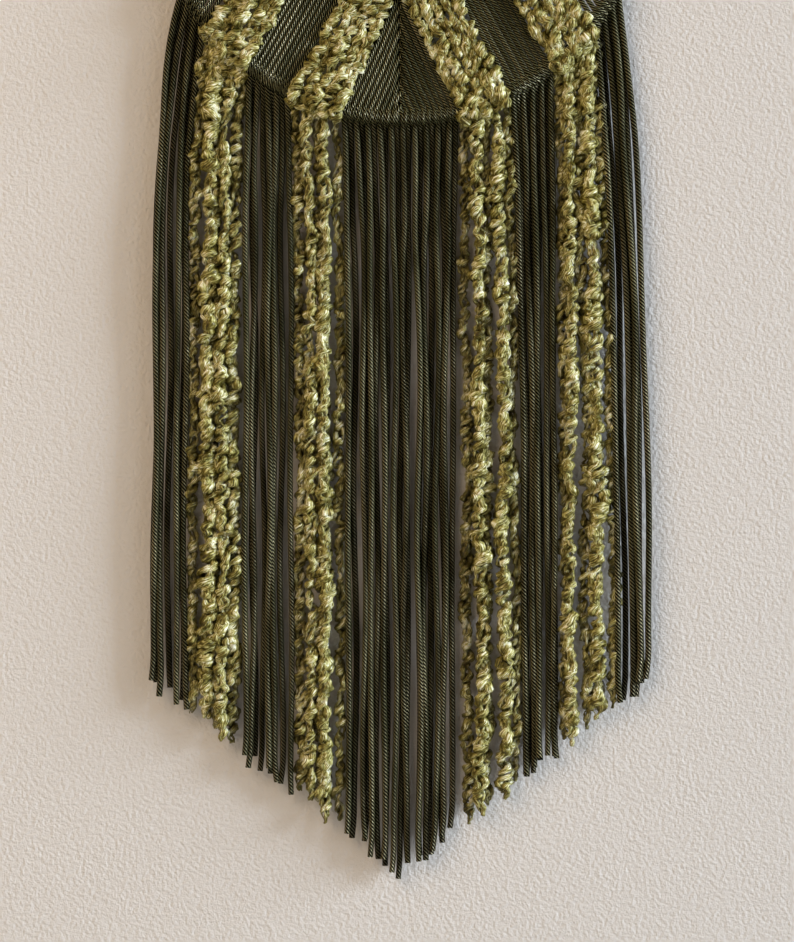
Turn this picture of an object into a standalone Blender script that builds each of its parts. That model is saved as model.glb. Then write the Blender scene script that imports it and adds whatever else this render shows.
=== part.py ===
# Macrame wall hanging on a round hoop: crossed cords in the hoop, and a V-cut fringe below it.
# +Z is up, X is the width and -Y faces the room. The origin is under the top of the hoop's wire,
# where a wall nail carries it.
import math
import random
from collections import namedtuple

import bmesh
import bpy
from mathutils import Vector

# Driving sizes, in metres and degrees
HOOP_OUTER_D = 0.300
WIRE_D = 0.004
CORD_D = 0.0033
BOUCLE_D = 0.0070
FIRST_TOP_ANGLE = 43.0
TOP_CLOSENESS = 0.66
FRINGE_DROP = 0.6205
FRINGE_CUT_ANGLE = 38.2
CUT_UNEVENNESS = 0.003

# Clearances, in metres
WIRE_GAP = 0.0007
LAYER_GAP = 0.0004
BAND_GAP = 0.0004

# Worked out from the sizes above
WIRE_R = WIRE_D / 2
HOOP_R = HOOP_OUTER_D / 2 - WIRE_R
HOOP_CENTRE = Vector((0.0, 0.0, WIRE_R - HOOP_R))
BAR_LINE_R = HOOP_R + 0.003

Finish = namedtuple("Finish", "colour roughness metallic")
FINISHES = {
    "cotton_cord": Finish((0.030, 0.038, 0.020, 1.0), 0.75, 0.0),
    "boucle_yarn": Finish((0.290, 0.270, 0.075, 1.0), 0.85, 0.0),
    "painted_steel": Finish((0.020, 0.022, 0.020, 1.0), 0.45, 0.8),
}

# One row for each band of cords on a side, from the middle of the hoop outwards. pitch is from
# cord to cord along the lower rim. The rest is how far from the middle the foot of the band's
# fringe hangs, for its first and last cord on the left and on the right.
Band = namedtuple("Band", "name finish cords pitch left_in left_out right_in right_out")
BANDS = [
    Band("centre_cords", "cotton_cord", 10, 0.00360, 0.0000, 0.0312, 0.0033, 0.0330),
    Band("inner_boucle", "boucle_yarn", 5, 0.00680, 0.0373, 0.0647, 0.0398, 0.0705),
    Band("mid_cords", "cotton_cord", 9, 0.00340, 0.0703, 0.0970, 0.0765, 0.0970),
    Band("outer_boucle", "boucle_yarn", 5, 0.00725, 0.1032, 0.1288, 0.1012, 0.1315),
    Band("outer_cords", "cotton_cord", 7, 0.00420, 0.1345, 0.1555, 0.1381, 0.1555),
]

# How each finish is laid up. half and valley are a band's half thickness on a cord and between
# two cords, lumps the share by which they vary, mids the extra sections along a face band, and
# wrap_end how far its end goes round the wire. The fringe hangs from a bar of radius bar_r: its
# strands leave the bar at two depths and hang at another two, with points sections each.
Lay = namedtuple("Lay", "half valley lumps mids wrap_end bar_r root leave hang points")
LAYS = {
    "cotton_cord": Lay(CORD_D * 0.46, CORD_D * 0.22, 0.0, 0, 100, 0.0025, CORD_D / 2,
                       (0.0031, 0.0062), (0.0032, 0.0064), 6),
    "boucle_yarn": Lay(BOUCLE_D * 0.46, BOUCLE_D * 0.26, 0.24, 3, 78, 0.0030, BOUCLE_D * 0.31,
                       (0.0038, 0.0068), (0.0052, 0.0097), 22),
}
TOP_STEP = 60
SPREAD_LENGTHS = {"left": 0.050, "right": 0.120}
DEPTH_LENGTH = 0.012
CLEAR_OF_RIM = 0.013


def hoop_point(angle, radius, depth):
    # A point on a circle round the hoop's centre, angle in degrees from +X
    turn = math.radians(angle)
    return HOOP_CENTRE + Vector((radius * math.cos(turn), depth, radius * math.sin(turn)))


def wire_point(angle, around, reach):
    # A point beside the wire: around is 0 in front, 90 on the hoop's outer side, 180 behind
    turn = math.radians(around)
    return hoop_point(angle, HOOP_R + reach * math.sin(turn), -reach * math.cos(turn))


def degrees_along(length):
    return math.degrees(length / HOOP_R)


def band_edges():
    # Where each band starts and ends along the lower rim, from the middle out
    rim, edges = 0.0, {}
    for band in BANDS:
        edges[band.name] = (rim, rim + band.cords * band.pitch)
        rim = edges[band.name][1]
    return edges


EDGES = band_edges()


def chord(band, share):
    # The left cord's ends at a share of the band's width: its lower-left and upper-right angles
    start, end = EDGES[band.name]
    turn = degrees_along(start + BAND_GAP + share * (end - start - 2 * BAND_GAP))
    return -90 - turn, FIRST_TOP_ANGLE + turn * TOP_CLOSENESS


def crossing(band, share):
    # Where that cord meets its mirror image, on the middle line
    low, high = chord(band, share)
    a, b = hoop_point(low, HOOP_R, 0), hoop_point(high, HOOP_R, 0)
    return a.lerp(b, -a.x / (b.x - a.x))


def share_clear_of_rim(band):
    # The first share of a band that crosses the middle line clear of the wire
    steps = 40
    for k in range(steps + 1):
        if crossing(band, k / steps).z > HOOP_CENTRE.z - HOOP_R + CLEAR_OF_RIM:
            return k / steps
    return 1.0


def mirrored(path):
    # A path that ends on the middle line, carried on down its mirror image
    return path + [Vector((-p.x, p.y, p.z)) for p in reversed(path[:-1])]


def face_path(band, share):
    # In front: round the lower rim, up to the middle line and down the other side
    lay = LAYS[band.finish]
    low = chord(band, share)[0]
    reach = WIRE_R + WIRE_GAP + lay.half
    turns = range(lay.wrap_end, -1, -lay.wrap_end // 2)
    path = [wire_point(low, turn, reach) for turn in turns]
    meet = crossing(band, share)
    off_rim = (meet.z - HOOP_CENTRE.z + HOOP_R) / CLEAR_OF_RIM
    near_rim = max(0.0, 1.0 - off_rim)
    meet.y = -(LAYER_GAP + lay.half) - near_rim * (reach - LAYER_GAP - lay.half)
    path += [path[-1].lerp(meet, (k + 1) / (lay.mids + 1)) for k in range(lay.mids + 1)]
    return mirrored(path)


def upper_path(band, share):
    # Behind: over the top of the hoop, down to the middle line and up the other side
    lay = LAYS[band.finish]
    high = 180 - chord(band, share)[1]
    reach = WIRE_R + WIRE_GAP + lay.half
    path = [wire_point(high, turn, reach) for turn in range(0, 181, TOP_STEP)]
    meet = crossing(band, share)
    meet.y = LAYER_GAP + lay.half
    path += [path[-1].lerp(meet, (k + 1) / (lay.mids + 1)) for k in range(lay.mids + 1)]
    return mirrored(path)


def collection(name):
    made = bpy.data.collections.new(name)
    bpy.context.scene.collection.children.link(made)
    return made


def material(name):
    finish = FINISHES[name]
    made = bpy.data.materials.new(name)
    made.use_nodes = True
    shader = made.node_tree.nodes["Principled BSDF"]
    shader.inputs["Base Color"].default_value = finish.colour
    shader.inputs["Roughness"].default_value = finish.roughness
    shader.inputs["Metallic"].default_value = finish.metallic
    return made


def place(obj, where, finish):
    for old in list(obj.users_collection):
        old.objects.unlink(obj)
    where.objects.link(obj)
    obj.data.materials.clear()
    obj.data.materials.append(finish)
    return obj


def helper(obj, helpers):
    # A shape that is only joined into another one
    for old in list(obj.users_collection):
        old.objects.unlink(obj)
    helpers.objects.link(obj)
    obj.hide_render = True
    obj.display_type = "WIRE"
    return obj


def join(obj, other):
    step = obj.modifiers.new("join_" + other.name, "BOOLEAN")
    step.operation = "UNION"
    step.solver = "EXACT"
    step.object = other


def ridged_sheet(name, band, path_of, first_share, rng):
    # A sheet of cords lying side by side: a grid bent along their paths, thick on each cord
    lay = LAYS[band.finish]
    across = 2 * band.cords
    paths = []
    for k in range(across + 1):
        share = first_share + (1 - first_share) * k / across
        paths.append(path_of(band, share))
    along = len(paths[0]) - 1
    mesh = bpy.data.meshes.new(name)
    form = bmesh.new()
    bmesh.ops.create_grid(form, x_segments=across, y_segments=along, size=1)
    columns = []
    for vert in form.verts:
        k = round((vert.co.x + 1) / 2 * across)
        j = round((vert.co.y + 1) / 2 * along)
        vert.co = paths[k][j]
        columns.append(k)
    form.to_mesh(mesh)
    form.free()
    obj = bpy.data.objects.new(name, mesh)
    ridges = obj.vertex_groups.new(name="ridges")
    for index, k in enumerate(columns):
        on_cord = 1.0 if k % 2 else lay.valley / lay.half
        weight = on_cord * (1 - lay.lumps * rng.random())
        ridges.add([index], weight, "REPLACE")
    shell = obj.modifiers.new("cords", "SOLIDIFY")
    shell.thickness = 2 * lay.half
    shell.offset = 0
    shell.vertex_group = "ridges"
    return obj


def middle_tie(band, first_share):
    # The crossing of the two layers on the middle line
    lay = LAYS[band.finish]
    low = crossing(band, first_share).z + CORD_D
    high = crossing(band, 1.0).z - CORD_D
    depth = LAYER_GAP + lay.half
    bpy.ops.mesh.primitive_cube_add(size=1, location=(0, 0, (low + high) / 2))
    tie = bpy.context.active_object
    tie.name = "tie_" + band.name
    tie.scale = (CORD_D, 2 * depth, high - low)
    return tie


def face_band(band, where, helpers, finish, rng):
    # One colour of crossed cords: the lower front layer, the upper back layer and their tie
    first = share_clear_of_rim(band)
    start = 0.0 if EDGES[band.name][0] else 0.3 / band.cords
    front = ridged_sheet(band.name, band, face_path, start, rng)
    where.objects.link(front)
    place(front, where, finish)
    back = ridged_sheet("upper_" + band.name, band, upper_path, first, rng)
    bpy.context.scene.collection.objects.link(back)
    join(front, helper(back, helpers))
    join(front, helper(middle_tie(band, first), helpers))
    return front


def tube(name, runs, sides_step):
    # Closed tubes, one for each run of (point, radius), as one mesh
    curve = bpy.data.curves.new(name, "CURVE")
    curve.dimensions = "3D"
    curve.bevel_depth = 1.0
    curve.bevel_resolution = sides_step
    curve.use_fill_caps = True
    for run in runs:
        spline = curve.splines.new("POLY")
        spline.points.add(len(run) - 1)
        for node, (point, radius) in zip(spline.points, run):
            node.co = (*point, 1.0)
            node.radius = radius
    source = bpy.data.objects.new(name + "_curve", curve)
    bpy.context.scene.collection.objects.link(source)
    bpy.context.view_layer.update()
    graph = bpy.context.evaluated_depsgraph_get()
    mesh = bpy.data.meshes.new_from_object(source.evaluated_get(graph))
    bpy.data.objects.remove(source)
    form = bmesh.new()
    form.from_mesh(mesh)
    bmesh.ops.remove_doubles(form, verts=form.verts, dist=0.00001)
    bmesh.ops.recalc_face_normals(form, faces=form.faces)
    form.to_mesh(mesh)
    form.free()
    obj = bpy.data.objects.new(name, mesh)
    bpy.context.scene.collection.objects.link(obj)
    return obj


def foot_height(x, rng):
    # The fringe is trimmed to a V, a little unevenly
    rise = abs(x) * math.tan(math.radians(FRINGE_CUT_ANGLE))
    return HOOP_CENTRE.z - FRINGE_DROP + rise + rng.uniform(-1, 1) * CUT_UNEVENNESS


def bar_depth(lay):
    # How far behind the hoop a bar runs, just clear of the wire
    reach = WIRE_R + lay.bar_r + 0.00035
    return math.sqrt(reach ** 2 - (BAR_LINE_R - HOOP_R) ** 2)


def strand(band, side, number, row, rng):
    # One hanging cord: out of the bar, spreading a little, then straight down to its cut end
    lay = LAYS[band.finish]
    angle = chord(band, (number + 0.5) / band.cords)[0]
    root = hoop_point(angle, BAR_LINE_R, lay.leave[row])
    first, last = ((band.left_in, band.left_out) if side == "left"
                   else (band.right_in, band.right_out))
    foot_x = first + (last - first) * number / (band.cords - 1)
    length = root.z - foot_height(foot_x, rng)
    run = []
    for k in range(lay.points):
        share_down = (k / (lay.points - 1)) ** 1.3
        fall = share_down * length
        spread = 1 - math.exp(-fall / SPREAD_LENGTHS[side])
        x = -root.x + (foot_x + root.x) * (0.9 * spread + 0.1 * share_down)
        depth = lay.hang[row] + (root.y - lay.hang[row]) * math.exp(-fall / DEPTH_LENGTH)
        radius = lay.root
        if lay.lumps and 0 < k < lay.points - 1:
            full = BOUCLE_D / 2 * (1.1 - 1.6 * lay.lumps * rng.random())
            radius += (full - radius) * min(1.0, 1.6 * spread)
        run.append((Vector((-x if side == "left" else x, depth, root.z - fall)), radius))
    return run


def bar_angles(band, side):
    # The ends of the bar that a band hangs from. The outer one is cut back, clear of its neighbour
    lay = LAYS[band.finish]
    low, high = chord(band, 0.0)[0], chord(band, 1.0)[0]
    tilt = math.radians(-90 - high)
    cut = min(0.8 * band.pitch, lay.bar_r * math.tan(tilt) + 0.0006)
    high += degrees_along(cut)
    return (high, low) if side == "left" else (-180 - low, -180 - high)


def fringe(name, parts, where, helpers, finish, rng):
    # Strands hanging from a narrow bar behind the lower rim. parts lists its bands, left first
    lay = LAYS[parts[0][0].finish]
    runs = []
    for band, side in parts:
        order = range(band.cords)
        for number in (reversed(order) if side == "left" else order):
            row = (len(runs) + (band.finish == "boucle_yarn")) % 2
            runs.append(strand(band, side, number, row, rng))
    low, high = bar_angles(*parts[0])[0], bar_angles(*parts[-1])[1]
    steps = max(3, round((high - low) / 3))
    bend = [low + (high - low) * k / steps for k in range(steps + 1)]
    bar = tube(name, [[(hoop_point(a, BAR_LINE_R, bar_depth(lay)), lay.bar_r) for a in bend]], 2)
    place(bar, where, finish)
    join(bar, helper(tube("strands_" + name, runs, 0), helpers))
    return bar


def hoop(where, finish):
    bpy.ops.mesh.primitive_torus_add(
        location=HOOP_CENTRE, rotation=(math.pi / 2, 0, 0), major_segments=48,
        minor_segments=8, major_radius=HOOP_R, minor_radius=WIRE_R)
    ring = bpy.context.active_object
    ring.name = "hoop"
    ring.data.shade_smooth()
    return place(ring, where, finish)


def main():
    for obj in list(bpy.data.objects):
        bpy.data.objects.remove(obj)
    parts = collection("macrame_wall_hanging")
    helpers = collection("joined_shapes")
    rng = random.Random(5)
    finishes = {name: material(name) for name in FINISHES}
    hoop(parts, finishes["painted_steel"])
    for band in BANDS:
        face_band(band, parts, helpers, finishes[band.finish], rng)
    centre = BANDS[0]
    fringe("fringe_centre_cords", [(centre, "left"), (centre, "right")], parts, helpers,
           finishes[centre.finish], rng)
    for band in BANDS[1:]:
        for side in ("left", "right"):
            fringe(f"fringe_{band.name}_{side}", [(band, side)], parts, helpers,
                   finishes[band.finish], rng)


main()
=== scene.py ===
# Macrame wall hanging with a hoop: the finish of its cords, yarn, wire and fringe
import math
import random

import bpy
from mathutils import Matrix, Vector


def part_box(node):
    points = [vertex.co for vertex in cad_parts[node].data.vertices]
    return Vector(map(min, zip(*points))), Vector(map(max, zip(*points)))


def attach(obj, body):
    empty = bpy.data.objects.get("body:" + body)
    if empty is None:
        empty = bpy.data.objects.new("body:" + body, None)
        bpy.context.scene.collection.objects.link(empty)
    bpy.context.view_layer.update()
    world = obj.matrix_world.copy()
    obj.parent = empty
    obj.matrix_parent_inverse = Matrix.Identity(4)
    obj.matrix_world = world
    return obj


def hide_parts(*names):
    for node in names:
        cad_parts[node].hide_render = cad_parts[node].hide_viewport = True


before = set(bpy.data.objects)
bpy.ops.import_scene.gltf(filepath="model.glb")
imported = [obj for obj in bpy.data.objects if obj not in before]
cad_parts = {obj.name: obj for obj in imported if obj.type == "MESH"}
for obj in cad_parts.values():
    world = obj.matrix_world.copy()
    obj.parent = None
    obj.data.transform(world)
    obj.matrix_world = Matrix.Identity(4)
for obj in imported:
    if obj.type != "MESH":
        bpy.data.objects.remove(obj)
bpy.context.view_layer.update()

# The hoop's sizes, read from its CAD node. All sizes are in metres
hoopLow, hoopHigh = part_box("hoop")
wireRadius = (hoopHigh.y - hoopLow.y) / 2
hoopRadius = (hoopHigh.x - hoopLow.x) / 2 - wireRadius
hoopCentre = (hoopLow + hoopHigh) / 2
wireGap = 0.0004  # between the wire and the yarn that goes round it

# Each band's cords on one side, from the middle out. left and right are how far from the middle
# the band's first and last strand hang.
bands = [
    {"name": "centre_cords", "yarn": "cord", "count": 10, "pitch": 0.00360,
     "left": (0.0000, 0.0312), "right": (0.0033, 0.0330)},
    {"name": "inner_boucle", "yarn": "boucle", "count": 5, "pitch": 0.00680,
     "left": (0.0373, 0.0647), "right": (0.0398, 0.0705)},
    {"name": "mid_cords", "yarn": "cord", "count": 9, "pitch": 0.00340,
     "left": (0.0703, 0.0970), "right": (0.0765, 0.0970)},
    {"name": "outer_boucle", "yarn": "boucle", "count": 5, "pitch": 0.00725,
     "left": (0.1032, 0.1288), "right": (0.1012, 0.1315)},
    {"name": "outer_cords", "yarn": "cord", "count": 7, "pitch": 0.00420,
     "left": (0.1345, 0.1555), "right": (0.1381, 0.1555)},
]

# The two yarns. layHalf is half the thickness that a laid yarn takes up. hangDepths are the two
# rows that the fringe hangs in, behind the hoop's plane. depthStray and sideStray are how far a
# strand hangs from its even place. uneven is how much strands differ in thickness, swell is how
# much thicker a yarn bunches where it bends round the wire, and endShare is how thick it still
# is at its cut end.
yarns = {
    "cord": {"layHalf": 0.00155, "hangDepths": (0.0045, 0.0078), "depthStray": 0.0011,
             "sideStray": 0.0024, "uneven": 0.06, "swell": 0.0, "endShare": 0.95},
    "boucle": {"layHalf": 0.0032, "hangDepths": (0.0030, 0.0078), "depthStray": 0.0010,
               "sideStray": 0.0034, "uneven": 0.28, "swell": 0.12, "endShare": 0.4},
}


def colour(hexCode):
    # sRGB hex to Blender's linear colour
    parts = [int(hexCode[i:i + 2], 16) / 255 for i in (1, 3, 5)]
    return (*[p / 12.92 if p <= 0.04045 else ((p + 0.055) / 1.055) ** 2.4 for p in parts], 1.0)


def feed(tree, node, inputs):
    # Sets or links a node's inputs, by name or by number
    for key, value in inputs.items():
        if isinstance(value, bpy.types.NodeSocket):
            tree.links.new(value, node.inputs[key])
        else:
            node.inputs[key].default_value = value


def addNode(tree, kind, inputs=(), output=0, stops=(), **settings):
    # Adds a node, sets its properties, feeds its inputs, and gives back an output. stops are
    # those of a colour ramp: pairs of a place on it and an sRGB hex
    made = tree.nodes.new(kind)
    for name, value in settings.items():
        setattr(made, name, value)
    if stops:
        elements = made.color_ramp.elements
        for element, (place, code) in zip(elements, (stops[0], stops[-1])):
            element.position, element.color = place, colour(code)
        for place, code in stops[1:-1]:
            elements.new(place).color = colour(code)
    feed(tree, made, inputs if isinstance(inputs, dict) else dict(enumerate(inputs)))
    return made.outputs if output is None else made.outputs[output]


def hoopPoint(angle, radius, depth):
    # A point on a circle round the hoop's centre, angle in degrees from its right-hand side
    turn = math.radians(angle)
    return hoopCentre + Vector((radius * math.cos(turn), depth, radius * math.sin(turn)))


def wirePoint(angle, around, reach):
    # A point beside the wire: around is 0 in front, 90 on the hoop's outer side, 180 behind
    turn = math.radians(around)
    return hoopPoint(angle, hoopRadius + reach * math.sin(turn), -reach * math.cos(turn))


def rimStart(band):
    # How far along the lower rim from the middle the band starts
    before = bands[:bands.index(band)]
    return sum(b["count"] * b["pitch"] for b in before)


def onSide(path, side):
    # Paths are worked out for the hanging's left side, and mirrored for its right
    return path if side == "left" else [Vector((-p.x, p.y, p.z)) for p in path]


# The crossed cords inside the hoop. The turns are angles round the wire, in degrees
face = {
    "firstTopAngle": 43.0,  # where the innermost cord is tied, from the hoop's right-hand side
    "topCloseness": 0.66,  # spacing at the top, as a share of that on the lower rim
    "tieTurn": (-120, -60, 0, 60, 120),  # at the top, before the cord goes down behind
    "tieStep": 0.0009,  # how far beside itself this turn starts
    "rimTurn": (0, 45, 90, 125),  # under the lower rim
    "hitchTurn": (-80, -50, -20, 10, 40, 70, 100, 130),  # a cord's extra turn round the rim
    "hitchLift": 0.0009,  # how far it stands out over the cords beside it
    "hitchShare": 0.72,  # how thick that turn is, as a share of the cord
    "layerGap": 0.0004,  # between the hoop's plane and the front and back layers
    "crossHalf": 0.0045,  # how far from the middle line a cord changes layers, past its thickness
    "rimReach": 0.013,  # a cord that crosses lower over the rim than this moves out to the wire
    "spanShares": (0.35, 0.7),  # where a straight stretch has its points
    "backEase": 1.3,  # above 1, a cord is in its back layer before it crosses
    "crowdedFrom": 0.6,  # above this share of the hoop's radius the cords are pressed together
    "crowding": 0.12,  # and this much thinner
    "swellLength": 0.010,  # how near the wire the yarn bunches
}


def cordAngles(band, number):
    # Where one left-hand cord crosses the lower rim, and where it is tied at the top
    turn = math.degrees((rimStart(band) + (number + 0.5) * band["pitch"]) / hoopRadius)
    return -90 - turn, face["firstTopAngle"] + turn * face["topCloseness"]


def acrossMiddle(low, high):
    # The point of the straight line from low to high that lies on the middle line
    return low.lerp(high, -low.x / (high.x - low.x))


def facePath(band, number, side):
    # One cord: tied at the top, down behind to the middle line, then in front to the lower rim
    half = yarns[band["yarn"]]["layHalf"]
    reach = wireRadius + wireGap + half
    low, high = cordAngles(band, number)
    sideStep = math.degrees(face["tieStep"] / hoopRadius)
    path = [wirePoint(high + sideStep * (1 - k / 3), around, reach)
            for k, around in enumerate(face["tieTurn"])]
    path.append(wirePoint(high, 180, reach))
    rim = wirePoint(low, 0, reach)
    meet = acrossMiddle(hoopPoint(low, hoopRadius, 0), hoopPoint(high, hoopRadius, 0))
    slope = (rim - meet).normalized()
    # The left-hand cords cross half a pitch higher, so that the two sides pass between each other
    shift = band["pitch"] * (0.5 if side == "left" else 0.0)
    clear = min(1.0, (meet.z - hoopCentre.z + hoopRadius) / face["rimReach"])
    front = -(face["layerGap"] + half) * clear - reach * (1 - clear)
    behind = face["layerGap"] + half
    between = (front + behind) / 2 if clear == 1 else front
    away = face["crossHalf"] + 2 * half
    back = path[-1]
    for share in face["spanShares"]:
        point = back.lerp(meet, share)
        point.y = back.y + (behind - back.y) * min(1.0, share * face["backEase"])
        path.append(point)
    for step, depth in ((-away, behind), (0.0, between), (away, front)):
        point = meet + slope * step
        point.y = depth
        point.z += shift
        path.append(point)
    for share in face["spanShares"]:
        point = meet.lerp(rim, share)
        point.y = front + (rim.y - front) * max(0.0, share * 2 - 1)  # level for its first half
        path.append(point)
    path += [wirePoint(low, around, reach) for around in face["rimTurn"]]
    return onSide(path, side)


def hitchPath(band, number, side):
    # The extra turn that a cord takes round the wire at the lower rim, beside itself
    angle = cordAngles(band, number + 0.5)[0]
    reach = wireRadius + wireGap + yarns["cord"]["layHalf"] + face["hitchLift"]
    return onSide([wirePoint(angle, around, reach) for around in face["hitchTurn"]], side)


def swollen(place, yarn):
    # How thick a yarn is at a place, as a share of its own thickness
    offWire = abs((place - hoopCentre).length - hoopRadius)
    crowdedAbove = hoopCentre.z + face["crowdedFrom"] * hoopRadius
    crowded = face["crowding"] if place.z > crowdedAbove else 0.0
    return 1 + yarn["swell"] * math.exp(-offWire / face["swellLength"]) - crowded


# The hanging strands, in metres and degrees
fringe = {
    "drop": 0.6205,  # from the hoop's centre to the lowest cut end
    "cutAngle": 38.2,  # slope of the V that the fringe is trimmed to
    "cutUnevenness": 0.0055,
    "endLength": 0.014,  # the last part of a strand, which bends aside
    "endBend": 0.0017,
    "spreadLength": {"left": 0.050, "right": 0.120},  # how soon the fringe falls straight
    "lateSpread": 0.1,  # the share of the spread that comes evenly, all the way down
    "settleLength": 0.006,  # how soon a strand gets from the rim to its own row
    "sway": 0.0013,  # how far it bends to and fro on the way down
    "leastSway": 0.2,  # as a share of that
    "swayLength": 0.21,
    "swayStart": 0.08,  # how far down the sway is whole
    "depthSway": 0.0008,  # how far it bends towards the wall and back
    "depthWaves": 1.3,  # for each wave sideways
    "points": 26,
    "pointCrowding": 1.35,  # above 1, the points lie closer near the rim
}


def fringePath(band, number, side, row, rng):
    # One strand: out from under the rim, spreading a little, then straight down to its cut end
    yarn = yarns[band["yarn"]]
    reach = wireRadius + wireGap + yarn["layHalf"]
    start = wirePoint(cordAngles(band, number)[0], face["rimTurn"][-1], reach)
    first, last = band[side]
    footX = first + (last - first) * number / (band["count"] - 1)
    rise = footX * math.tan(math.radians(fringe["cutAngle"]))
    footZ = hoopCentre.z - fringe["drop"] + rise + rng.uniform(-1, 1) * fringe["cutUnevenness"]
    strayed = rng.uniform(-1, 1) * yarn["sideStray"]
    sway = rng.uniform(fringe["leastSway"], 1) * fringe["sway"]
    phase = rng.uniform(0, math.tau)
    hung = yarn["hangDepths"][row] + rng.uniform(-1, 1) * yarn["depthStray"]
    length = start.z - footZ
    late = fringe["lateSpread"]
    path = [start]
    for k in range(1, fringe["points"] + 1):
        share = (k / fringe["points"]) ** fringe["pointCrowding"]
        fall = share * (length - fringe["endLength"])
        spread = 1 - math.exp(-fall / fringe["spreadLength"][side])
        x = -start.x + (footX + strayed + start.x) * ((1 - late) * spread + late * share)
        free = min(1.0, fall / fringe["swayStart"])
        bend = free * math.tau * fall / fringe["swayLength"]
        x += sway * free * math.sin(bend + phase)
        depth = hung + (start.y - hung) * math.exp(-fall / fringe["settleLength"])
        depth += fringe["depthSway"] * free * math.sin(fringe["depthWaves"] * bend + 2 * phase)
        path.append(Vector((-x, depth, start.z - fall)))
    # An end bends to either side, and more to the front than to the wall
    bent = Vector((rng.uniform(-1, 1), rng.uniform(-1, 0.4), 0)) * fringe["endBend"]
    path.append(path[-1] + bent - Vector((0, 0, fringe["endLength"])))
    return onSide(path, side)


def pathsObject(name, strands, yarn):
    # Strands as one curve object, for a node tree to lay yarn along. Each is a path and how thick
    # it is, as a share of the yarn
    wellBelowHoop = hoopCentre.z - 1.3 * hoopRadius  # only the fringe's cut ends hang so low
    curve = bpy.data.curves.new(name, "CURVE")
    curve.dimensions = "3D"
    for path, share in strands:
        spline = curve.splines.new("POLY")
        spline.points.add(len(path) - 1)
        for point, place in zip(spline.points, path):
            point.co = (*place, 1.0)
            cut = place is path[-1] and place.z < wellBelowHoop
            point.radius = share * swollen(place, yarn) * (yarn["endShare"] if cut else 1)
    made = bpy.data.objects.new(name, curve)
    bpy.context.scene.collection.objects.link(made)
    return made


def newTree(name, sizes):
    # An empty geometry node tree with named inputs for its sizes
    tree = bpy.data.node_groups.new(name, "GeometryNodeTree")
    tree.interface.new_socket("Geometry", in_out="INPUT", socket_type="NodeSocketGeometry")
    for label, value in sizes.items():
        kind = "NodeSocketInt" if isinstance(value, int) else "NodeSocketFloat"
        tree.interface.new_socket(label, in_out="INPUT", socket_type=kind)
    tree.interface.new_socket("Finish", in_out="INPUT", socket_type="NodeSocketMaterial")
    tree.interface.new_socket("Geometry", in_out="OUTPUT", socket_type="NodeSocketGeometry")
    return tree, addNode(tree, "NodeGroupInput", output=None)


def endTree(tree, shape, finish):
    # Every tree ends in real, smooth geometry with its material
    smooth = addNode(tree, "GeometryNodeSetShadeSmooth", [shape])
    real = addNode(tree, "GeometryNodeRealizeInstances", [smooth])
    done = addNode(tree, "GeometryNodeSetMaterial", {"Geometry": real, "Material": finish})
    addNode(tree, "NodeGroupOutput", [done], None)
    return tree


def tubeAlong(tree, curve, thickness, sides):
    # Sweeps a ring along curves. Each point keeps its strand's number, and where it is along
    # and round its tube
    length = addNode(tree, "GeometryNodeSplineParameter", output="Length")
    number = addNode(tree, "GeometryNodeCurveOfPoint", output="Curve Index")
    numbered = addNode(tree, "GeometryNodeStoreNamedAttribute",
                       {"Geometry": curve, "Name": "strand", "Value": number}, data_type="FLOAT")
    marked = addNode(tree, "GeometryNodeStoreNamedAttribute",
                     {"Geometry": numbered, "Name": "along", "Value": length}, data_type="FLOAT")
    own = addNode(tree, "GeometryNodeInputRadius")
    scaled = addNode(tree, "ShaderNodeMath", [own, thickness], operation="MULTIPLY")
    sized = addNode(tree, "GeometryNodeSetCurveRadius", {"Curve": marked, "Radius": scaled})
    ring = addNode(tree, "GeometryNodeCurvePrimitiveCircle", {"Resolution": sides, "Radius": 1.0})
    place = addNode(tree, "GeometryNodeInputPosition")
    turned = addNode(tree, "GeometryNodeStoreNamedAttribute",
                     {"Geometry": ring, "Name": "turn", "Value": place}, data_type="FLOAT_VECTOR")
    return addNode(tree, "GeometryNodeCurveToMesh",
                   {"Curve": sized, "Profile Curve": turned, "Fill Caps": True,
                    "Scale": addNode(tree, "GeometryNodeInputRadius")})


def cordTree(sizes):
    # Smooth twisted cord, laid along every path
    tree, given = newTree("layCord", sizes)
    eased = addNode(tree, "GeometryNodeCurveSplineType", [given["Geometry"]],
                    spline_type="CATMULL_ROM")
    fine = addNode(tree, "GeometryNodeSetSplineResolution",
                   {"Geometry": eased, "Resolution": given["Rings a step"]})
    rings = addNode(tree, "GeometryNodeResampleCurve", {"Curve": fine}, mode="EVALUATED")
    cords = tubeAlong(tree, rings, given["Cord radius"], sides=10)
    return endTree(tree, cords, given["Finish"])


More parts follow.
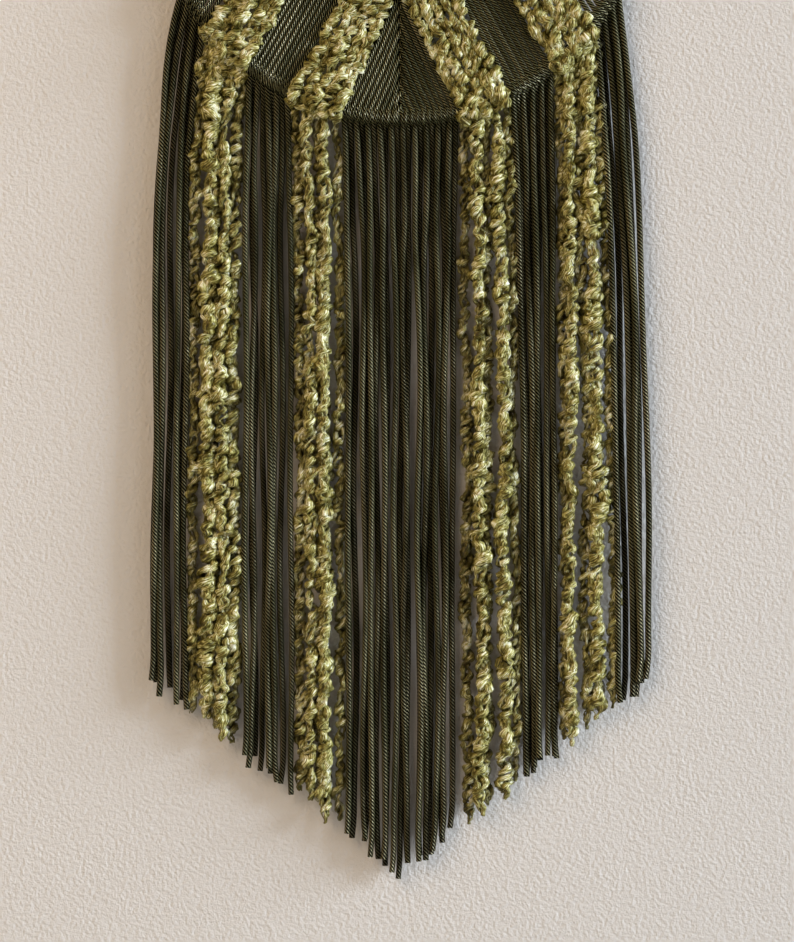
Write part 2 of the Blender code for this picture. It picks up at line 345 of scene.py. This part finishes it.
def boucleTree(sizes):
    # Boucle: three slubby plies wound unevenly round each path, with loose curls on them
    plies = 3
    noise = {"yarnStep": 0.731, "plyStep": 0.53,  # yarns and plies each have their own noise
             "puffs": 38.0, "strays": 55.0}  # to a metre
    curls = {"points": 6, "sweep": 250, "scatter": 0.0029, "smallest": 0.5, "largest": 1.2}
    tree, given = newTree("layBoucle", sizes)
    eased = addNode(tree, "GeometryNodeCurveSplineType", [given["Geometry"]],
                    spline_type="CATMULL_ROM")
    even = addNode(tree, "GeometryNodeResampleCurve",
                   {"Curve": eased, "Length": given["Ring spacing"]}, mode="LENGTH")
    length = addNode(tree, "GeometryNodeSplineParameter", output="Length")
    yarnIndex = addNode(tree, "GeometryNodeCurveOfPoint", output="Curve Index")
    tangent = addNode(tree, "GeometryNodeInputTangent")
    normal = addNode(tree, "GeometryNodeInputNormal")
    across = addNode(tree, "ShaderNodeVectorMath", [tangent, normal], operation="CROSS_PRODUCT")
    row = addNode(tree, "ShaderNodeMath", [yarnIndex, noise["yarnStep"]], operation="MULTIPLY")
    base = addNode(tree, "ShaderNodeCombineXYZ", [length, row, given["Seed"]])
    puffs = addNode(tree, "ShaderNodeTexNoise",
                    {"Vector": base, "Scale": noise["puffs"], "Detail": 2.0})
    puffed = addNode(tree, "ShaderNodeMapRange", {"Value": puffs, "From Min": 0.35,
                     "From Max": 0.65, "To Min": 0.82, "To Max": given["Puff"]})
    own = addNode(tree, "ShaderNodeMath", [addNode(tree, "GeometryNodeInputRadius"), puffed],
                  operation="MULTIPLY")
    strays = addNode(tree, "ShaderNodeTexNoise", {"Vector": base, "Scale": noise["strays"]},
                     "Color")
    centred = addNode(tree, "ShaderNodeVectorMath", [strays, (0.5, 0.5, 0.5)],
                      operation="SUBTRACT")
    strayed = addNode(tree, "ShaderNodeVectorMath", {0: centred, "Scale": given["Stray"]},
                      operation="SCALE")
    turns = addNode(tree, "ShaderNodeMath", [length, given["Winding pitch"]], operation="DIVIDE")
    shapes = []
    for ply in range(plies):
        lane = addNode(tree, "ShaderNodeMath", [given["Seed"], ply * noise["plyStep"]],
                       operation="ADD")
        spot = addNode(tree, "ShaderNodeCombineXYZ", [length, row, lane])
        wander = addNode(tree, "ShaderNodeTexNoise",
                         {"Vector": spot, "Scale": given["Crinkle"], "Detail": 1.0}, "Color")
        slub = addNode(tree, "ShaderNodeTexNoise",
                       {"Vector": spot, "Scale": given["Slub"], "Detail": 1.5})
        parts = addNode(tree, "ShaderNodeSeparateXYZ", [wander], None)
        loose = addNode(tree, "ShaderNodeMath", [parts["X"], given["Looseness"], turns],
                        operation="MULTIPLY_ADD")
        shifted = addNode(tree, "ShaderNodeMath", [loose, ply / plies], operation="ADD")
        angle = addNode(tree, "ShaderNodeMath", [shifted, math.tau], operation="MULTIPLY")
        swing = addNode(tree, "ShaderNodeMapRange", {"Value": parts["Y"], "From Min": 0.3,
                        "From Max": 0.7, "To Min": 0.45, "To Max": 1.45})
        swung = addNode(tree, "ShaderNodeMath", [swing, own], operation="MULTIPLY")
        reach = addNode(tree, "ShaderNodeMath", [swung, given["Winding radius"]],
                        operation="MULTIPLY")
        offset = strayed
        for axis, wave in ((normal, "COSINE"), (across, "SINE")):
            share = addNode(tree, "ShaderNodeMath", [angle], operation=wave)
            amount = addNode(tree, "ShaderNodeMath", [reach, share], operation="MULTIPLY")
            part = addNode(tree, "ShaderNodeVectorMath", {0: axis, "Scale": amount},
                           operation="SCALE")
            offset = addNode(tree, "ShaderNodeVectorMath", [offset, part], operation="ADD")
        wound = addNode(tree, "GeometryNodeSetPosition", {"Geometry": even, "Offset": offset})
        thick = addNode(tree, "ShaderNodeMapRange", {"Value": slub, "From Min": 0.36,
                        "From Max": 0.64, "To Min": 0.35, "To Max": 1.6})
        plyRadius = addNode(tree, "ShaderNodeMath", [thick, given["Ply radius"]],
                            operation="MULTIPLY")
        puffy = addNode(tree, "ShaderNodeMath", [plyRadius, puffed], operation="MULTIPLY")
        shapes.append(tubeAlong(tree, wound, puffy, sides=5))
    curl = addNode(tree, "GeometryNodeCurveArc", {
        "Resolution": curls["points"], "Radius": given["Curl radius"], "Start Angle": 0.0,
        "Sweep Angle": math.radians(curls["sweep"])}, mode="RADIUS")
    curlTube = tubeAlong(tree, curl, given["Curl thickness"], sides=4)
    spots = addNode(tree, "GeometryNodeResampleCurve",
                    {"Curve": eased, "Length": given["Curl spacing"]}, mode="LENGTH")
    jitter, spin, grow = [
        addNode(tree, "FunctionNodeRandomValue", {0: (least,) * 3, 1: (most,) * 3, "Seed": seed},
                data_type="FLOAT_VECTOR")
        for least, most, seed in ((-curls["scatter"], curls["scatter"], 3), (0.0, math.tau, 4),
                                  (curls["smallest"], curls["largest"], 5))]
    strewn = addNode(tree, "GeometryNodeSetPosition", {"Geometry": spots, "Offset": jitter})
    shapes.append(addNode(tree, "GeometryNodeInstanceOnPoints", {
        "Points": strewn, "Instance": curlTube, "Rotation": spin, "Scale": grow}))
    joined = addNode(tree, "GeometryNodeJoinGeometry")
    for shape in shapes:
        tree.links.new(shape, joined.node.inputs[0])
    return endTree(tree, joined, given["Finish"])


def grown(name, strands, yarn, tree, sizes, finish):
    # Lays yarn along the strands' paths with a node tree, and keeps the result as a plain mesh
    source = pathsObject(name + "Paths", strands, yarn)
    step = source.modifiers.new("lay", "NODES")
    step.node_group = tree
    for item in tree.interface.items_tree:
        if item.item_type == "SOCKET" and item.in_out == "INPUT":
            if item.name in sizes:
                step[item.identifier] = sizes[item.name]
            elif item.name == "Finish":
                step[item.identifier] = finish
    source.update_tag()
    bpy.context.view_layer.update()
    graph = bpy.context.evaluated_depsgraph_get()
    mesh = bpy.data.meshes.new_from_object(source.evaluated_get(graph))
    mesh.name = name
    made = bpy.data.objects.new(name, mesh)
    bpy.context.scene.collection.objects.link(made)
    bpy.data.objects.remove(source)
    mesh.materials.clear()
    mesh.materials.append(finish)
    print("stage: laid", name, len(mesh.polygons), "faces")
    return made


def newMaterial(name):
    # Gives back the material, its node tree and its shader
    made = bpy.data.materials.new(name)
    made.use_nodes = True
    tree = made.node_tree
    return made, tree, tree.nodes["Principled BSDF"]


def aroundTube(tree):
    # The angle round a tube, from the stored place on its ring
    turn = addNode(tree, "ShaderNodeAttribute", output="Vector", attribute_name="turn")
    parts = addNode(tree, "ShaderNodeSeparateXYZ", [turn], None)
    return addNode(tree, "ShaderNodeMath", [parts["Y"], parts["X"]], operation="ARCTAN2")


def paintedDepthShade(tree, near, far, least):
    # A factor for colours that paints shade: yarn that hangs further in, from the depth near to
    # far, is painted darker, standing for the shade of the strands in front of it
    where = addNode(tree, "ShaderNodeTexCoord", output="Object")
    parts = addNode(tree, "ShaderNodeSeparateXYZ", [where], None)
    return addNode(tree, "ShaderNodeMapRange", {"Value": parts["Y"], "From Min": near,
                   "From Max": far, "To Min": 1.0, "To Max": least})


def cottonCord():
    # Mercerised cotton cord in a steep left-hand twist. Its colour paints bright highlights on the
    # crowns of its plies and shade that leaves the grooves nearly black. Five plies are drawn, so
    # that the lines still show
    sizes = {"plies": 5, "layLength": 0.0112, "plyRelief": 0.0006,
             # stops: painted shade in the ply grooves, painted highlights on the crowns
             "stops": ((0.0, "#010000"), (0.52, "#070600"), (0.8, "#24260f"), (1.0, "#838558")),
             "patches": 16.0,  # to a metre of cord, darker and lighter
             "strandStep": 3.71,  # keeps each cord's patches its own
             # painted shade: cord that hangs further in is darker
             "shadeFrom": 0.001, "shadeTo": 0.006, "deepestShade": 0.3,
             "shine": "#fff0c6", "roughness": 0.33}
    made, tree, shader = newMaterial("cottonCord")
    along = addNode(tree, "ShaderNodeAttribute", output="Fac", attribute_name="along")
    helix = addNode(tree, "ShaderNodeMath",
                    [along, math.tau / sizes["layLength"], aroundTube(tree)],
                    operation="MULTIPLY_ADD")
    phase = addNode(tree, "ShaderNodeMath", [helix, sizes["plies"]], operation="MULTIPLY")
    wave = addNode(tree, "ShaderNodeMath", [phase], operation="COSINE")
    ridge = addNode(tree, "ShaderNodeMath", [wave, 0.5, 0.5], operation="MULTIPLY_ADD")  # 0 to 1
    strand = addNode(tree, "ShaderNodeAttribute", output="Fac", attribute_name="strand")
    apart = addNode(tree, "ShaderNodeMath", [strand, sizes["strandStep"]], operation="MULTIPLY")
    place = addNode(tree, "ShaderNodeMath", [along, sizes["patches"]], operation="MULTIPLY")
    spot = addNode(tree, "ShaderNodeCombineXYZ", [place, apart, 0.0])
    patchy = addNode(tree, "ShaderNodeTexNoise", {"Vector": spot, "Scale": 1.0, "Detail": 3.0})
    lifted = addNode(tree, "ShaderNodeMapRange", {"Value": patchy, "From Min": 0.3, "From Max": 0.7,
                     "To Min": 0.5, "To Max": 1.1})
    # painted shade, darker the further in the cord hangs
    depth = paintedDepthShade(tree, sizes["shadeFrom"], sizes["shadeTo"], sizes["deepestShade"])
    share = addNode(tree, "ShaderNodeMath", [lifted, depth], operation="MULTIPLY")
    # the ramp paints shade into the ply grooves and highlights onto the crowns
    tone = addNode(tree, "ShaderNodeValToRGB", [ridge], stops=sizes["stops"])
    # random patches of dye, times painted shade by depth, on the painted groove shade and crown
    # highlights
    dyeAndPaintedLight = addNode(tree, "ShaderNodeVectorMath", {0: tone, "Scale": share}, operation="SCALE")
    raised = addNode(tree, "ShaderNodeBump", {"Height": ridge, "Strength": 1.0,
                     "Distance": sizes["plyRelief"]})
    crown = addNode(tree, "ShaderNodeMath", [ridge, 2.0], operation="POWER")
    shiny = addNode(tree, "ShaderNodeMapRange", {"Value": patchy, "From Min": 0.4, "From Max": 0.66,
                    "To Min": 0.8, "To Max": 3.2})
    glossy = addNode(tree, "ShaderNodeMath", [crown, shiny], operation="MULTIPLY")
    feed(tree, shader, {"Base Color": dyeAndPaintedLight, "Normal": raised, "Specular IOR Level": glossy,
                        "Specular Tint": colour(sizes["shine"]), "Roughness": sizes["roughness"]})
    return made


def boucleYarn():
    # Rayon boucle yarn: soft fibres that lie along each slub and shine like satin. They are drawn
    # as streaks about 0.5 mm wide and 2.6 mm long, coarser than the fibres, so that they show. The
    # streaks' colour runs from painted shade, near black, through the yarn's own uneven olive to a
    # painted sheen, near white, on top of the real shine
    sizes = {"streaksAlong": 240.0, "streaksRound": 2.2, "streakScale": 1.6,
             "streakRelief": 0.0007,
             # stops: painted shade at the dark end, painted sheen at the pale end, the yarn's own
             # tone between
             "stops": ((0.36, "#1f1900"), (0.46, "#61581b"), (0.55, "#bfb86f"), (0.63, "#fffee4")),
             "patches": 110.0,  # to a metre, lighter and darker
             "streakShare": 0.6, "patchShare": 0.4,
             # painted shade: yarn that hangs further in is darker
             "shadeFrom": 0.0005, "shadeTo": 0.006, "deepestShade": 0.45,
             "shine": "#fff2c4", "gloss": 0.55, "roughness": 0.34}
    made, tree, shader = newMaterial("boucleYarn")
    along = addNode(tree, "ShaderNodeAttribute", output="Fac", attribute_name="along")
    angle = aroundTube(tree)
    lengthwise = addNode(tree, "ShaderNodeMath", [along, sizes["streaksAlong"]],
                         operation="MULTIPLY")
    circle = []
    for wave in ("SINE", "COSINE"):
        share = addNode(tree, "ShaderNodeMath", [angle], operation=wave)
        circle.append(addNode(tree, "ShaderNodeMath", [share, sizes["streaksRound"]],
                              operation="MULTIPLY"))
    spot = addNode(tree, "ShaderNodeCombineXYZ", [lengthwise, *circle])
    streaks = addNode(tree, "ShaderNodeTexNoise",
                      {"Vector": spot, "Scale": sizes["streakScale"], "Detail": 3.0})
    where = addNode(tree, "ShaderNodeTexCoord", output="Object")
    patchy = addNode(tree, "ShaderNodeTexNoise",
                     {"Vector": where, "Scale": sizes["patches"], "Detail": 2.0})
    faint = addNode(tree, "ShaderNodeMath", [patchy, sizes["patchShare"]], operation="MULTIPLY")
    mixed = addNode(tree, "ShaderNodeMath", [streaks, sizes["streakShare"], faint],
                    operation="MULTIPLY_ADD")
    # the ramp's darkest stop is painted shade and its palest a painted sheen
    tone = addNode(tree, "ShaderNodeValToRGB", [mixed], stops=sizes["stops"])
    raised = addNode(tree, "ShaderNodeBump", {"Height": streaks, "Strength": 0.9,
                     "Distance": sizes["streakRelief"]})
    # painted shade, darker the further in the yarn hangs
    depth = paintedDepthShade(tree, sizes["shadeFrom"], sizes["shadeTo"], sizes["deepestShade"])
    dyeAndPaintedLight = addNode(tree, "ShaderNodeVectorMath", {0: tone, "Scale": depth}, operation="SCALE")
    feed(tree, shader, {"Base Color": dyeAndPaintedLight, "Normal": raised, "Specular IOR Level": sizes["gloss"],
                        "Specular Tint": colour(sizes["shine"]), "Roughness": sizes["roughness"]})
    return made


def paintedSteel():
    # Black stove-painted steel wire: satin, with faint unevenness in the paint, about 1.5 mm wide
    sizes = {"grains": 700.0, "grainRelief": 0.0001, "stops": ((0.0, "#17170f"), (1.0, "#2b2b25")),
             "roughness": 0.42}
    made, tree, shader = newMaterial("paintedSteel")
    where = addNode(tree, "ShaderNodeTexCoord", output="Object")
    skin = addNode(tree, "ShaderNodeTexNoise",
                   {"Vector": where, "Scale": sizes["grains"], "Detail": 3.0})
    tone = addNode(tree, "ShaderNodeValToRGB", [skin], stops=sizes["stops"])
    raised = addNode(tree, "ShaderNodeBump", {"Height": skin, "Strength": 0.3,
                     "Distance": sizes["grainRelief"]})
    feed(tree, shader, {"Base Color": tone, "Normal": raised, "Roughness": sizes["roughness"]})
    return made


def faceBand(band, tree, sizes, finish):
    # All the crossed cords of one band, which stand for the band's CAD node
    both = [(side, number) for side in ("left", "right") for number in range(band["count"])]
    strands = [(facePath(band, number, side), 1.0) for side, number in both]
    if band["yarn"] == "cord":
        strands += [(hitchPath(band, number, side), face["hitchShare"]) for side, number in both]
    made = grown(band["name"] + "_face", strands, yarns[band["yarn"]], tree, sizes, finish)
    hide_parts(band["name"])
    return made


def fringeGroup(name, parts, tree, sizes, finish, rng):
    # One group of hanging strands, in two rows, which stands for its CAD node
    strands = []
    yarn = yarns[parts[0][0]["yarn"]]
    for band, side in parts:
        order = range(band["count"])
        for number in (reversed(order) if side == "left" else order):
            row = (len(strands) + (band["yarn"] == "boucle")) % 2
            share = 1 + rng.uniform(-1, 1) * yarn["uneven"]
            strands.append((fringePath(band, number, side, row, rng), share))
    made = grown(name + "_strands", strands, yarn, tree, sizes, finish)
    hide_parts(name)
    return made


def buildHanging():
    # The hung yarns are looser than those pulled tight over the hoop
    cordSizes = {"Cord radius": 0.00158, "Rings a step": 3}
    hungCord = {**cordSizes, "Cord radius": 0.00192}
    boucleSizes = {"Ply radius": 0.0018, "Winding radius": 0.0021, "Winding pitch": 0.014,
                   "Looseness": 2.0, "Crinkle": 130.0, "Slub": 170.0, "Ring spacing": 0.0011,
                   "Curl spacing": 0.0036, "Curl radius": 0.0018, "Curl thickness": 0.0009,
                   "Puff": 1.35, "Stray": 0.006, "Seed": 0.0}
    hungBoucle = {**boucleSizes, "Ply radius": 0.0017, "Winding pitch": 0.020, "Looseness": 1.6,
                  "Puff": 1.5, "Stray": 0.008}
    seedStep = 1.7  # so that no two groups of boucle have the same loops
    rng = random.Random(12)
    trees = {"cord": (cordTree(cordSizes), cottonCord(), "cotton_cord", cordSizes, hungCord),
             "boucle": (boucleTree(boucleSizes), boucleYarn(), "boucle_yarn", boucleSizes,
                        hungBoucle)}
    for band in bands:
        tree, finish, slotName, sizes, hungSizes = trees[band["yarn"]]
        made = [faceBand(band, tree, sizes, finish)]
        if band is bands[0]:
            groups = [("fringe_centre_cords", [(band, "left"), (band, "right")])]
        else:
            groups = [(f"fringe_{band['name']}_{side}", [(band, side)])
                      for side in ("left", "right")]
        for name, parts in groups:
            hungBoucle["Seed"] += seedStep
            made.append(fringeGroup(name, parts, tree, hungSizes, finish, rng))
        for piece in made:
            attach(piece, "root")
    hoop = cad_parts["hoop"]
    hoop.data.materials.clear()
    hoop.data.materials.append(paintedSteel())


def plasterWall():
    # Rolled pale plaster: a fine stipple about 2 mm across. It is clear from behind, so that the
    # hanging's back can be seen
    sizes = {"stipple": 480.0, "relief": 0.0012, "tint": "#d9d6d1", "roughness": 0.85}
    made, tree, shader = newMaterial("rolledPlaster")
    where = addNode(tree, "ShaderNodeTexCoord", output="Object")
    stipple = addNode(tree, "ShaderNodeTexNoise",
                      {"Vector": where, "Scale": sizes["stipple"], "Detail": 4.0})
    raised = addNode(tree, "ShaderNodeBump", {"Height": stipple, "Strength": 0.9,
                     "Distance": sizes["relief"]})
    feed(tree, shader, {"Base Color": colour(sizes["tint"]), "Roughness": sizes["roughness"],
                        "Normal": raised})
    facing = addNode(tree, "ShaderNodeNewGeometry", output="Backfacing")
    clear = addNode(tree, "ShaderNodeBsdfTransparent")
    mixed = addNode(tree, "ShaderNodeMixShader", [facing, shader.outputs[0], clear])
    feed(tree, tree.nodes["Material Output"], {"Surface": mixed})
    return made


def paleFloor():
    # Matt painted floor, below the view
    made, tree, shader = newMaterial("paleFloor")
    feed(tree, shader, {"Base Color": colour("#e4e1da"), "Roughness": 0.8})
    return made


def flatSheet(name, corners, finish):
    mesh = bpy.data.meshes.new(name)
    mesh.from_pydata(corners, [], [(0, 1, 2, 3)])
    mesh.materials.append(finish)
    made = bpy.data.objects.new(name, mesh)
    bpy.context.scene.collection.objects.link(made)
    return made


def buildStage():
    room = {"wallDepth": 0.0155, "halfWidth": 2.5, "floorZ": hoopCentre.z - 0.85, "height": 2.0}
    low, high = room["floorZ"], room["floorZ"] + room["height"]
    half, back = room["halfWidth"], room["wallDepth"]
    wall = flatSheet("wall", [(-half, back, low), (half, back, low), (half, back, high),
                              (-half, back, high)], plasterWall())
    wall.visible_diffuse = False  # no light off the wall brightens the strands
    wall.visible_shadow = False  # and it shades nothing
    flatSheet("floor", [(-half, -half, low), (half, -half, low), (half, half, low),
                        (-half, half, low)], paleFloor())


def buildLight():
    # Two windows to the right and a little above, the brighter one at a low angle to the wall, a
    # wide warm lamp in front to the left, and a pale room. The hanging therefore shades the wall
    # to its left, and the rim shades the top of the fringe
    lights = {
        "window": {"place": (8.6, -4.8, hoopCentre.z + 2.6), "width": 10.0, "height": 2.4,
                   "power": 325.0, "tint": "#deebfa"},
        "sideWindow": {"place": (9.42, -2.7, hoopCentre.z + 2.6), "width": 4.5, "height": 2.4,
                       "power": 1440.0, "tint": "#deebfa"},
        "warmLamp": {"place": (-1.55, -1.92, hoopCentre.z + 1.1), "width": 2.1, "height": 1.6,
                     "power": 44.0, "tint": "#ffe0bc"},
    }
    room = {"tint": "#ffe6cc", "strength": 0.09}
    target = Vector((0.0, 0.0, hoopCentre.z - 0.35))  # near the middle of the photo
    for name, light in lights.items():
        data = bpy.data.lights.new(name, "AREA")
        data.shape, data.size, data.size_y = "RECTANGLE", light["width"], light["height"]
        data.energy, data.color = light["power"], colour(light["tint"])[:3]
        made = bpy.data.objects.new(name, data)
        made.location = light["place"]
        made.rotation_euler = (target - made.location).to_track_quat("-Z", "Y").to_euler()
        bpy.context.scene.collection.objects.link(made)
    world = bpy.data.worlds.new("paleRoom")
    world.use_nodes = True
    feed(world.node_tree, world.node_tree.nodes["Background"],
         {"Color": colour(room["tint"]), "Strength": room["strength"]})
    bpy.context.scene.world = world
    bpy.context.scene.view_settings.view_transform = "Standard"


def buildCamera():
    # Straight on, framed as the photograph is: the hoop's upper part is above its top edge
    shot = {"imageWidth": 794, "imageHeight": 942, "metresPerPixel": 0.000622,
            "middleColumn": 400, "hoopCentreRow": -121, "distance": 1.4, "sensorWidth": 36.0}
    scale = shot["metresPerPixel"]
    x = (shot["imageWidth"] / 2 - shot["middleColumn"]) * scale
    z = hoopCentre.z - (shot["imageHeight"] / 2 - shot["hoopCentreRow"]) * scale
    data = bpy.data.cameras.new("camera")
    data.sensor_width = shot["sensorWidth"]
    data.lens = shot["sensorWidth"] * shot["distance"] / (shot["imageHeight"] * scale)
    made = bpy.data.objects.new("camera", data)
    made.location = (x, -shot["distance"], z)
    made.rotation_euler = (math.pi / 2, 0, 0)
    bpy.context.scene.collection.objects.link(made)
    bpy.context.scene.camera = made


print("stage: hanging")
buildHanging()
print("stage: room, light and camera")
buildStage()
buildLight()
buildCamera()
